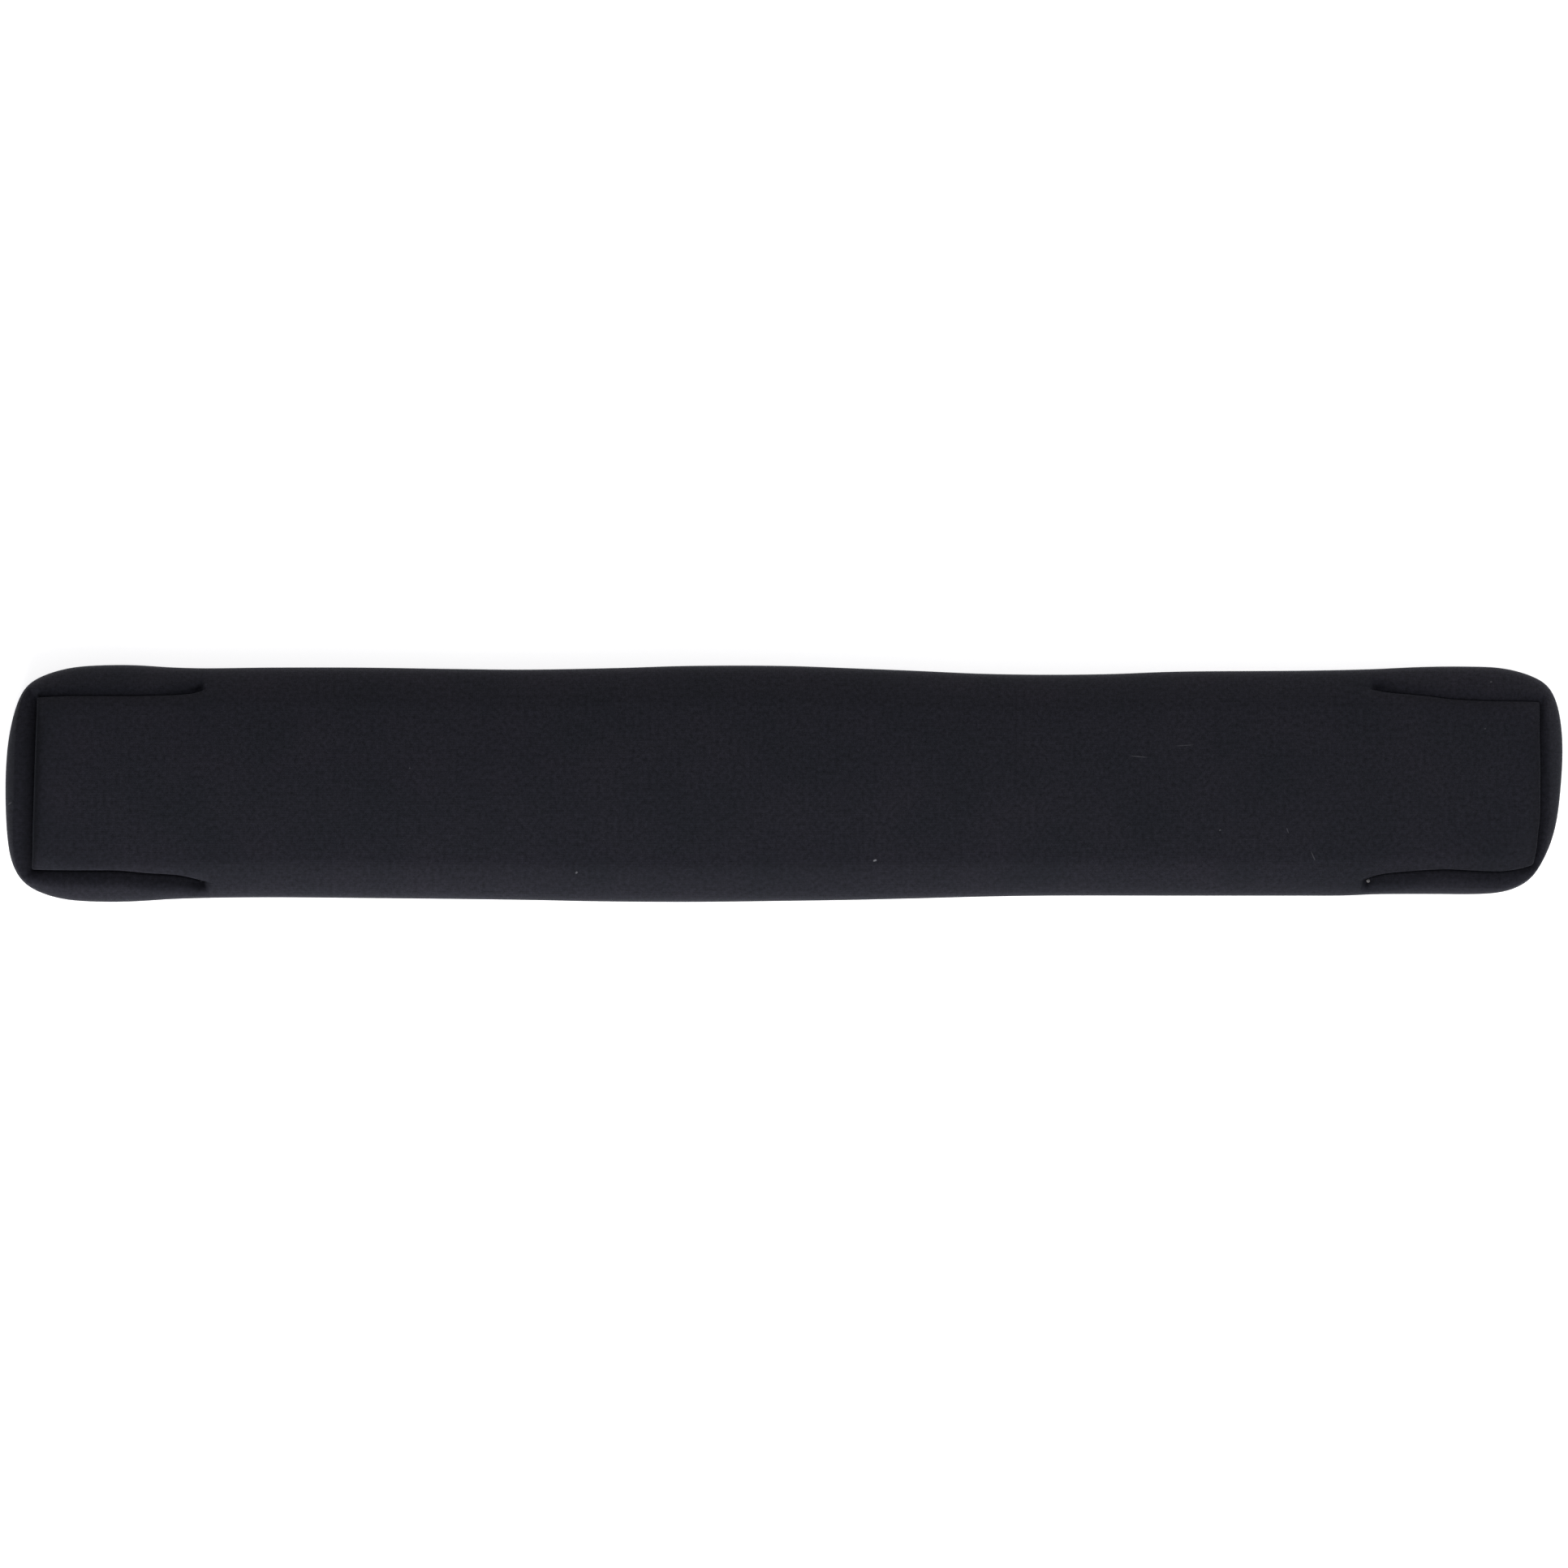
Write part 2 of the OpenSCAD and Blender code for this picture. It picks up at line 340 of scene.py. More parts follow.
def boxy_mesh(name, ring, rings, top, bottom, attributes=None):
    """A closed mesh: a top grid inside rings[0], the rings in order, and a bottom grid inside rings[-1].
    top and bottom are (nx-1, ny-1, 3) arrays of inside points, or None to leave that side open."""
    n = ring.n
    verts = [np.asarray(r) for r in rings]
    co = np.vstack(verts)
    faces = []
    for k in range(len(rings) - 1):
        a = np.arange(n) + k * n
        b = np.roll(a, -1)
        faces.append(np.stack([a, a + n, b + n, b], 1))
    count = len(co)
    for inside, at, flip in ((top, 0, False), (bottom, (len(rings) - 1) * n, True)):
        if inside is None:
            continue
        g = grid_index(ring, at)
        g[1:-1, 1:-1] = np.arange((ring.nx - 1) * (ring.ny - 1)).reshape(ring.nx - 1, ring.ny - 1) + count
        co = np.vstack([co, inside.reshape(-1, 3)])
        count = len(co)
        q = np.stack([g[:-1, :-1], g[1:, :-1], g[1:, 1:], g[:-1, 1:]], -1).reshape(-1, 4)
        faces.append(q[:, ::-1] if flip else q)
    faces = np.vstack(faces)
    mesh = bpy.data.meshes.new(name)
    mesh.vertices.add(len(co))
    mesh.vertices.foreach_set("co", (co * MM).astype(np.float32).ravel())
    mesh.loops.add(faces.size)
    mesh.loops.foreach_set("vertex_index", faces.astype(np.int32).ravel())
    mesh.polygons.add(len(faces))
    mesh.polygons.foreach_set("loop_start", np.arange(0, faces.size, 4, dtype=np.int32))
    mesh.update(calc_edges=True)
    mesh.validate()
    mesh.polygons.foreach_set("use_smooth", np.ones(len(mesh.polygons), bool))
    for key, value in (attributes or {}).items():
        att = mesh.attributes.new(key, "FLOAT_VECTOR", "POINT")
        att.data.foreach_set("vector", value.astype(np.float32).ravel())
    obj = bpy.data.objects.new(name, mesh)
    bpy.context.scene.collection.objects.link(obj)
    return obj


def inside_of(grid):
    return grid[1:-1, 1:-1]


def dips(p):
    """Small hollows and folds at the slits' inner ends, in mm, to be taken off the height."""
    x, y = p[..., 0], p[..., 1]
    out = np.zeros(x.shape)
    for key, depth, along, across, past, off in (("left_back", 0.7, 2.0, 0.8, 1.4, 0.3), ("left_front", 0.5, 1.8, 0.9, 1.0, 0.2),
                                                 ("right_back", 0.7, 2.1, 0.8, 1.6, 0.3), ("right_front", 0.4, 1.1, 0.9, 0.2, 0.2)):
        tx, ty = TIPS[key]
        cx, cy = tx + math.copysign(past, tx), ty + math.copysign(off, ty)
        out += depth * np.exp(-((x - cx) / along) ** 2 / 2 - ((y - cy) / across) ** 2 / 2)
    # the right front slit runs on round the edge as a fine fold
    down = np.clip(-y, 27.0, 33)
    fold_x = np.interp(down, [27.0, 28.2, 29.4, 30.5, 32.0, 33.0], [171.6, 170.6, 170.4, 170.1, 169.6, 169.4])
    fade = smooth01((-y - 27.4) / 0.8) * np.interp(down, [28.5, 32.5], [1.0, 0.45])
    out += 1.4 * np.exp(-((x - fold_x) / 0.5) ** 2) * fade
    return out


def build_cover():
    ring = Ring()
    n = ring.n
    a = ring.a[:, None]
    # tongue side of the crease: a soft shoulder, then a tight roll down
    e_t = np.array([-5.4, -4.3, -3.4, -2.65, -2.0, -1.5, -1.1, -0.8, -0.56, -0.38, -0.25, -0.15, -0.07, -0.015])
    rho, edge = ring.roll, e_t[:, None]
    tight = np.where(-edge < rho, rho - np.sqrt(np.clip(rho ** 2 - (rho + edge) ** 2, 0, None)), 0)
    dz_t = -ring.sink * np.exp(edge / 1.3) * smooth01((edge + 5.4) / 2.5) - tight
    walls = [(0.0, 0.6), (-0.12, 0.72), (-0.3, 0.82), (-0.38, 0.94), (-0.3, 1.0), (-0.1, 1.0)]
    u_b = np.array([0.0, 0.012, 0.04, 0.085, 0.15, 0.235, 0.34, 0.46, 0.6, 0.78, 1.0])
    count = len(e_t) + len(walls) + len(u_b)
    rest = np.linspace(0.0, 0.18, len(walls))  # where there is no slit the walls close up
    rings, painted_shades = [], []
    width = ring.width
    for j in range(count):
        if j < len(e_t):
            e = np.full(n, e_t[j]) * ring.square
            dz = dz_t[j]
        elif j < len(e_t) + len(walls):
            we, wk = walls[j - len(e_t)]
            e = ring.a * we + (1 - ring.a) * rest[j - len(e_t)]
            dz = -ring.depth * wk - 0.5 * (1 - wk)
        else:
            u = u_b[j - len(e_t) - len(walls)]
            near = 0.02 * ring.a + 0.2 * (1 - ring.a)
            e = near + (width - near) * u
            dz = -ring.depth * (1 - (1 - (1 - u) ** ring.curl) ** (1 / ring.curl))
            dz = dz - ring.drop * np.cos(np.pi / 2 * np.clip(e / ring.reach, 0, 1)) ** 2 * smooth01(np.array(u * 3))
        p = ring.c + ring.dir * e[:, None]
        rings.append((p, ring.a * dz))
        # painted shade: darkening of the cloth's colour along the crease, strongest at the slit's line, fading over
        # 3.6 mm on the band and 1.6 mm on the tongue
        painted_shades.append(ring.a * np.where(e > 0, ring.painted_shade_band, ring.painted_shade_tongue) * np.exp(-(e / np.where(e > 0, 3.6, 1.6)) ** 2))
    last = width
    steps = 12
    for k in range(1, steps + 1):
        w = 1 - (1 - k / steps) ** 2
        e = last + (ring.reach - last) * w
        dz = -ring.a * ring.drop * np.cos(np.pi / 2 * np.clip(e / ring.reach, 0, 1)) ** 2
        rings.append((ring.c + ring.dir * e[:, None], dz))
    out = []
    for k, (p, dz) in enumerate(rings):
        if k == len(rings) - 1:
            z = np.full(n, Z_EQ)
        else:
            z = face_z(p) + dz - dips(p)
        out.append(np.column_stack([p, z]))
    # below the widest line, round to the foot
    for k in range(1, 11):
        phi = math.pi / 2 * k / 10
        inset = B_FOOT * (1 - math.cos(phi))
        p = ring.rim - ring.out * inset
        out.append(np.column_stack([p, np.full(n, Z_EQ - (Z_EQ - Z_FOOT) * math.sin(phi))]))
    foot = out[-1][:, :2]
    # hem, turned under
    hem = hem_line(ring)
    for w in (0.12, 0.4, 0.7, 0.93):
        out.append(np.column_stack([foot + (hem - foot) * w, np.full(n, Z_FOOT)]))
    for w, z in ((1.0, Z_FOOT + 0.25), (1.0, Z_FOOT + T_COVER - 0.25), (0.93, Z_FOOT + T_COVER)):
        out.append(np.column_stack([foot + (hem - foot) * w, np.full(n, z)]))
    # inside face
    for w in (0.6, 0.2):
        out.append(np.column_stack([foot + (hem - foot) * w, np.full(n, Z_FOOT + T_COVER)]))
    b2, h2 = B_FOOT - T_COVER + 0.6, Z_EQ - Z_FOOT - T_COVER
    for k in (3, 2, 1, 0):
        phi = math.pi / 2 * k / 4
        inset = T_COVER + b2 * (1 - math.cos(phi))
        out.append(np.column_stack([ring.rim - ring.out * inset, np.full(n, Z_EQ - h2 * math.sin(phi))]))
    for w in (0.3, 0.65, 1.0):
        e = (ring.reach - T_COVER) * (1 - w) + (-5.4 * ring.square) * w
        p = ring.c + ring.dir * e[:, None]
        out.append(np.column_stack([p, np.maximum(face_z(p, T_COVER) - ring.press(e), 10.6)]))
    top = coons(ring, out[0][:, :2])
    inner_top = inside_of(top)
    z = face_z(inner_top) - dips(inner_top)
    top3 = np.concatenate([inner_top, z[..., None]], -1)
    low = coons(ring, out[-1][:, :2])
    inner_low = inside_of(low)
    low3 = np.concatenate([inner_low, face_z(inner_low, T_COVER)[..., None]], -1)
    # fabric coordinates: distance over the cloth from the slit's line, laid out flat
    coords = []
    arc = np.zeros(n)
    start = out[0]
    for k, r in enumerate(out):
        if k:
            arc = arc + np.linalg.norm(r - out[k - 1], axis=1)
        flat_xy = start[:, :2] + ring.dir * arc[:, None]
        coords.append(np.column_stack([flat_xy, np.zeros(n)]))
    cloth = np.vstack(coords + [np.concatenate([inner_top, 0 * inner_top[..., :1]], -1).reshape(-1, 3),
                                np.concatenate([inner_low, 0 * inner_low[..., :1]], -1).reshape(-1, 3)])
    # painted crease shade, carried to the material in the x of a vector attribute
    painted_shade_data = np.zeros((len(cloth), 3))
    painted_shade_data[:n * len(painted_shades), 0] = np.concatenate(painted_shades)
    obj = boxy_mesh("jersey_cover", ring, out, top3, low3, {"cloth_mm": cloth, "painted_crease_shade": painted_shade_data})
    return ring, obj


def hem_line(ring, hx=HEM_X, hy=HEM_Y):
    """Rectangle inside the rest, with one point for each point of the ring."""
    nx, ny = ring.nx, ring.ny
    x, y = ring.xs[:-1] * hx, ring.ys[:-1] * hy
    right = np.stack([np.full(ny, hx), y], 1)
    back = np.stack([-ring.xs[:0:-1] * -hx, np.full(nx, hy)], 1)
    left = np.stack([np.full(ny, -hx), ring.ys[:0:-1] * hy], 1)
    front = np.stack([x, np.full(nx, -hy)], 1)
    return np.vstack([right, back, left, front])


# -------------------------------------------------------------- materials
def material(name):
    m = bpy.data.materials.new(name)
    m.use_nodes = True
    nt = m.node_tree
    nt.nodes.clear()
    out = nt.nodes.new("ShaderNodeOutputMaterial")
    bsdf = nt.nodes.new("ShaderNodeBsdfPrincipled")
    nt.links.new(bsdf.outputs[0], out.inputs[0])
    return m, nt, bsdf


def node(nt, kind, **values):
    n = nt.nodes.new(kind)
    for k, v in values.items():
        if hasattr(n, k):
            setattr(n, k, v)
        else:
            n.inputs[k].default_value = v
    return n


def math_node(nt, op, a, b=None, clamp=False):
    n = nt.nodes.new("ShaderNodeMath")
    n.operation = op
    n.use_clamp = clamp
    for i, v in enumerate((a, b)):
        if v is None:
            continue
        if isinstance(v, (int, float)):
            n.inputs[i].default_value = v
        else:
            nt.links.new(v, n.inputs[i])
    return n.outputs[0]


def ramp(nt, fac, stops):
    n = nt.nodes.new("ShaderNodeValToRGB")
    e = n.color_ramp.elements
    e[0].position, e[0].color = stops[0][0], (*stops[0][1], 1)
    e[1].position, e[1].color = stops[-1][0], (*stops[-1][1], 1)
    for pos, col in stops[1:-1]:
        x = e.new(pos)
        x.color = (*col, 1)
    nt.links.new(fac, n.inputs[0])
    return n.outputs[0]


def jersey():
    m, nt, b = material("black_jersey")
    at = node(nt, "ShaderNodeAttribute", attribute_name="cloth_mm")
    wob = node(nt, "ShaderNodeTexNoise", Scale=0.35, Detail=2.0)
    nt.links.new(at.outputs["Vector"], wob.inputs["Vector"])
    sway = nt.nodes.new("ShaderNodeVectorMath"); sway.operation = "MULTIPLY_ADD"
    nt.links.new(wob.outputs["Color"], sway.inputs[0])
    sway.inputs[1].default_value = (0.5, 0.5, 0.0)
    nt.links.new(at.outputs["Vector"], sway.inputs[2])
    sep = nt.nodes.new("ShaderNodeSeparateXYZ")
    nt.links.new(sway.outputs[0], sep.inputs[0])
    # knit: wales run along the rest, each a column of small V-shaped loops
    wale, course = 0.52, 0.40
    u = math_node(nt, "MULTIPLY", sep.outputs["X"], 2 * math.pi / course)
    v = math_node(nt, "MULTIPLY", sep.outputs["Y"], 2 * math.pi / wale)
    ribs = math_node(nt, "COSINE", v)
    lean = math_node(nt, "ABSOLUTE", math_node(nt, "SINE", math_node(nt, "MULTIPLY", v, 0.5)))
    loops = math_node(nt, "SINE", math_node(nt, "ADD", u, math_node(nt, "MULTIPLY", lean, 2.6)))
    knit = math_node(nt, "ADD", math_node(nt, "MULTIPLY", ribs, 0.5), math_node(nt, "MULTIPLY", loops, 0.5))
    fuzz = node(nt, "ShaderNodeTexNoise", Scale=2.6, Detail=3.0, Roughness=0.7)
    nt.links.new(at.outputs["Vector"], fuzz.inputs["Vector"])
    height = math_node(nt, "ADD", math_node(nt, "MULTIPLY", knit, 0.5), math_node(nt, "MULTIPLY", fuzz.outputs["Fac"], 1.1))
    # colour: slow variation in the dye and nap, fine grain of the yarn, painted shade along the creases, a few flecks
    # of lint
    slow = node(nt, "ShaderNodeTexNoise", Scale=0.045, Detail=3.0, Roughness=0.55)
    nt.links.new(at.outputs["Vector"], slow.inputs["Vector"])
    tone = ramp(nt, slow.outputs["Fac"], [(0.3, (0.0057, 0.0060, 0.0083)), (0.5, (0.0068, 0.0067, 0.0094)),
                                          (0.72, (0.0080, 0.0075, 0.0105))])
    grain = node(nt, "ShaderNodeTexNoise", Scale=1.9, Detail=2.0, Roughness=0.6)
    nt.links.new(at.outputs["Vector"], grain.inputs["Vector"])
    nap = node(nt, "ShaderNodeTexNoise", Scale=0.8, Detail=2.0, Roughness=0.6)
    nt.links.new(at.outputs["Vector"], nap.inputs["Vector"])
    g = math_node(nt, "ADD", math_node(nt, "MULTIPLY", grain.outputs["Fac"], 1.0), -0.5)
    g = math_node(nt, "ADD", g, math_node(nt, "MULTIPLY", nap.outputs["Fac"], 2.0))
    g = math_node(nt, "MAXIMUM", math_node(nt, "ADD", g, math_node(nt, "MULTIPLY", knit, 0.12)), 0.15)
    # painted shade: the crease attribute darkens the colour and the specular along the creases
    crease = node(nt, "ShaderNodeAttribute", attribute_name="painted_crease_shade")
    crease_x = nt.nodes.new("ShaderNodeSeparateXYZ")
    nt.links.new(crease.outputs["Vector"], crease_x.inputs[0])
    after_painted_shade = math_node(nt, "SUBTRACT", 1.0, crease_x.outputs["X"])
    g = math_node(nt, "MULTIPLY", g, after_painted_shade)
    nt.links.new(math_node(nt, "MULTIPLY", after_painted_shade, 0.12), b.inputs["Specular IOR Level"])
    mix = nt.nodes.new("ShaderNodeMix"); mix.data_type = "RGBA"; mix.blend_type = "MULTIPLY"
    mix.inputs["Factor"].default_value = 1.0
    nt.links.new(tone, mix.inputs["A"])
    comb = nt.nodes.new("ShaderNodeCombineXYZ")
    for i in range(3):
        nt.links.new(g, comb.inputs[i])
    nt.links.new(comb.outputs[0], mix.inputs["B"])
    cells = node(nt, "ShaderNodeTexVoronoi", Scale=0.055)
    nt.links.new(at.outputs["Vector"], cells.inputs["Vector"])
    fleck = math_node(nt, "MULTIPLY", math_node(nt, "LESS_THAN", cells.outputs["Distance"], 0.012), 0.25)
    # single fibres and specks caught in the nap: x, y, length, lean, width, strength
    at_xyz = nt.nodes.new("ShaderNodeSeparateXYZ")
    nt.links.new(at.outputs["Vector"], at_xyz.inputs[0])
    for x, y, length, lean, wide, strength in (
            (117.8, 11.1, 5.6, 0.06, 0.34, 0.16), (104.2, 7.8, 5.4, -0.08, 0.4, 0.2), (147.9, -13.9, 1.8, -2.8, 0.34, 0.24),
            (155.4, -21.4, 3.2, -2.2, 0.36, 0.26), (128.1, -13.8, 0.7, 0.3, 0.5, 0.35), (26.8, -22.7, 1.2, 0.4, 0.7, 1.0),
            (-60.8, -26.4, 0.9, 0.9, 0.7, 0.55), (205.9, 16.0, 0.6, 0.0, 0.5, 0.22), (207.8, 32.2, 0.8, 0.3, 0.6, 0.3),
            (-232.0, -6.0, 2.4, 0.4, 0.4, 0.4)):
        dx = math_node(nt, "ADD", at_xyz.outputs["X"], -x)
        dy = math_node(nt, "ADD", at_xyz.outputs["Y"], -y)
        c, s_ = math.cos(math.atan(lean)), math.sin(math.atan(lean))
        along = math_node(nt, "ADD", math_node(nt, "MULTIPLY", dx, c), math_node(nt, "MULTIPLY", dy, s_))
        across = math_node(nt, "ADD", math_node(nt, "MULTIPLY", dy, c), math_node(nt, "MULTIPLY", dx, -s_))
        la = math_node(nt, "POWER", math_node(nt, "ABSOLUTE", math_node(nt, "MULTIPLY", along, 2 / length)), 4)
        lc = math_node(nt, "POWER", math_node(nt, "MULTIPLY", across, 2 / wide), 2)
        mask = math_node(nt, "SUBTRACT", 1.0, math_node(nt, "ADD", la, lc), clamp=True)
        fleck = math_node(nt, "MAXIMUM", fleck, math_node(nt, "MULTIPLY", mask, strength))
    lint = nt.nodes.new("ShaderNodeMix"); lint.data_type = "RGBA"
    nt.links.new(fleck, lint.inputs["Factor"])
    nt.links.new(mix.outputs["Result"], lint.inputs["A"])
    lint.inputs["B"].default_value = (0.12, 0.12, 0.13, 1)
    nt.links.new(lint.outputs["Result"], b.inputs["Base Color"])
    rough = math_node(nt, "ADD", math_node(nt, "MULTIPLY", fuzz.outputs["Fac"], 0.2), 0.72, clamp=True)
    nt.links.new(rough, b.inputs["Roughness"])
    bump = node(nt, "ShaderNodeBump", Strength=0.45, Distance=0.00012)
    nt.links.new(height, bump.inputs["Height"])
    nt.links.new(bump.outputs[0], b.inputs["Normal"])
    b.inputs["Specular Tint"].default_value = (0.82, 0.87, 1.0, 1)
    b.inputs["Sheen Weight"].default_value = 0.04
    b.inputs["Sheen Roughness"].default_value = 0.42
    b.inputs["Sheen Tint"].default_value = (0.76, 0.82, 1.0, 1)
    return m


def plain(name, colour, rough, scale, bump_mm, spread_=0.25, sheen=0.0, coord="Object", gloss=0.5):
    """A moulded or foamed material: cellular bump and colour variation in millimetres."""
    m, nt, b = material(name)
    tc = nt.nodes.new("ShaderNodeTexCoord")
    mp = node(nt, "ShaderNodeMapping")
    mp.inputs["Scale"].default_value = (1000, 1000, 1000)
    nt.links.new(tc.outputs[coord], mp.inputs["Vector"])
    cell = node(nt, "ShaderNodeTexVoronoi", Scale=scale)
    nt.links.new(mp.outputs[0], cell.inputs["Vector"])
    noise = node(nt, "ShaderNodeTexNoise", Scale=scale * 0.3, Detail=4.0)
    nt.links.new(mp.outputs[0], noise.inputs["Vector"])
    lo = tuple(c * (1 - spread_) for c in colour)
    hi = tuple(min(1, c * (1 + spread_)) for c in colour)
    mixed = math_node(nt, "ADD", math_node(nt, "MULTIPLY", cell.outputs["Distance"], 0.5),
                      math_node(nt, "MULTIPLY", noise.outputs["Fac"], 0.6))
    nt.links.new(ramp(nt, mixed, [(0.2, lo), (0.5, colour), (0.9, hi)]), b.inputs["Base Color"])
    nt.links.new(math_node(nt, "ADD", math_node(nt, "MULTIPLY", noise.outputs["Fac"], 0.2), rough - 0.1, clamp=True), b.inputs["Roughness"])
    bump = node(nt, "ShaderNodeBump", Strength=0.6, Distance=bump_mm * MM)
    nt.links.new(cell.outputs["Distance"], bump.inputs["Height"])
    nt.links.new(bump.outputs[0], b.inputs["Normal"])
    b.inputs["Specular IOR Level"].default_value = gloss
    if sheen:
        b.inputs["Sheen Weight"].default_value = sheen
    return m


# ------------------------------------------------------------------ pieces
JERSEY = jersey()
RUBBER = plain("black_rubber", (0.0075, 0.0075, 0.0082), 0.62, 1.6, 0.12)
SOFT = plain("cream_foam", (0.70, 0.60, 0.38), 0.85, 2.2, 0.3, 0.12)
FIRM = plain("grey_foam", (0.035, 0.035, 0.037), 0.85, 3.2, 0.15, 0.2)
GLUE = plain("glue_film", (0.55, 0.50, 0.34), 0.45, 0.9, 0.05, 0.1)
FLECK = plain("worn_foam", (0.062, 0.060, 0.062), 0.95, 2.2, 0.12, 0.3)
THREAD = plain("black_thread", (0.004, 0.004, 0.0055), 0.85, 9.0, 0.05, 0.3, gloss=0.1)


def finish_piece(obj, mat, slot, *nodes):
    obj.data.materials.clear()
    obj.data.materials.append(mat)
    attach(obj, "root")
    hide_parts(*nodes)
    return obj


def key_node(key):
    """left_front becomes the node left_front_tack."""
    return key + "_tack"


RING, cover = build_cover()
finish_piece(cover, JERSEY, "cover_jersey", "cover")

COARSE = Ring(fine=2.2)


def flat_grid(ring, border, z):
    flat = inside_of(coons(ring, border))
    return np.concatenate([flat, np.full(flat.shape[:2] + (1,), z)], -1)


def well_inside(ring, inset, least):
    """A line inside the slit's line that also stays clear of the outline's inset."""
    slant = np.clip((ring.dir * ring.out).sum(1), 0.6, 1)
    e = np.minimum(-least * ring.square, ring.reach - (inset + 1.6) / slant)
    k = np.array([1, 2, 3, 2, 1]) / 9
    e = np.minimum(e, np.convolve(np.concatenate([e[-2:], e, e[:2]]), k, "same")[2:-2])
    return ring.c + ring.dir * e[:, None]


def slab(name, ring, inset, z_low, z_high, chamfer=0.3):
    """A flat piece with the rest's plan, inset from its outline."""
    n = ring.n
    inner = well_inside(ring, inset + chamfer, 3.0)
    rows = [np.column_stack([inner, np.full(n, z_high)])]
    for more, z in ((chamfer, z_high), (0.3 * chamfer, z_high - 0.3 * chamfer), (0, z_high - chamfer),
                    (0, z_low + chamfer), (0.3 * chamfer, z_low + 0.3 * chamfer), (chamfer, z_low)):
        rows.append(np.column_stack([ring.rim - ring.out * (inset + more), np.full(n, z)]))
    rows.append(np.column_stack([inner, np.full(n, z_low)]))
    return boxy_mesh(name, ring, rows, flat_grid(ring, inner, z_high), flat_grid(ring, inner, z_low))


def grip(p):
    """Depth of the base's wavy grip ribs, in mm, none near its edge."""
    x, y = p[..., 0], p[..., 1]
    phase = 2 * np.pi * (x + 1.1 * np.sin(2 * np.pi * y / 11.0)) / 3.2
    d = edge_distance(p).reshape(x.shape)
    return 0.32 * smooth01(0.5 + 1.1 * np.cos(phase)) * smooth01((d - 9.0) / 1.5)


def build_base():
    ring = Ring(steps=(lambda x: np.full(np.shape(x), 0.72), lambda y: np.full(np.shape(y), 1.3)))
    n = ring.n
    inner = well_inside(ring, 5.85, 1.0)
    rows = [np.column_stack([inner, np.full(n, 2.0)])]
    for inset, z in ((5.6, 2.0), (5.5, 1.9), (5.5, 0.35), (5.6, 0.12), (5.85, 0.0)):
        rows.append(np.column_stack([ring.rim - ring.out * inset, np.full(n, z)]))
    rows.append(np.column_stack([inner, grip(inner)]))
    low = inside_of(coons(ring, inner))
    low = np.concatenate([low, grip(low)[..., None]], -1)
    return boxy_mesh("rubber_base", ring, rows, flat_grid(ring, inner, 2.0), low)


def build_comfort_foam(ring):
    n, t = ring.n, T_COVER + 0.25
    rows = []
    for w in (0.0, 0.25, 0.45, 0.6, 0.75, 0.88, 0.97):
        e = -5.4 * ring.square * (1 - w) + (ring.reach - t - 0.05) * w
        p = ring.c + ring.dir * e[:, None]
        z = np.maximum(face_z(p, t) - 1.15 * ring.press(e) - 0.15, 10.3)
        rows.append(np.column_stack([p, z]))
    rows.append(np.column_stack([ring.rim - ring.out * (t + 0.05), np.full(n, 10.15)]))
    rows.append(np.column_stack([ring.rim - ring.out * (t + 0.2), np.full(n, 10.0)]))
    inner = rows[0][:, :2]
    rows.append(np.column_stack([inner, np.full(n, 10.0)]))
    top = inside_of(coons(ring, inner))
    top = np.concatenate([top, (face_z(top, t) - 0.15)[..., None]], -1)
    return boxy_mesh("comfort_layer", ring, rows, top, flat_grid(ring, inner, 10.0))


def build_support_foam(ring):
    n, t = ring.n, T_COVER + 0.25
    inner = ring.c - ring.dir * (5.4 * ring.square)[:, None]
    rows = [np.column_stack([inner, np.full(n, 9.98)]),
            np.column_stack([ring.rim - ring.out * (t + 0.2), np.full(n, 9.98)]),
            np.column_stack([ring.rim - ring.out * (t + 0.05), np.full(n, 9.85)])]
    for k in range(5):
        phi = math.pi / 2 * k / 4
        inset = t + (B_FOOT - T_COVER + 0.6) * (1 - math.cos(phi))
        z = Z_EQ - 0.2 - (Z_EQ - 0.2 - 4.75) * math.sin(phi)
        rows.append(np.column_stack([ring.rim - ring.out * inset, np.full(n, z)]))
    hem = hem_line(ring, HEM_X - 0.4, HEM_Y - 0.4)
    for z in (4.75, 2.45, 2.25):
        rows.append(np.column_stack([hem, np.full(n, z)]))
    return boxy_mesh("support_layer", ring, rows, flat_grid(ring, inner, 9.98), flat_grid(ring, hem, 2.25))


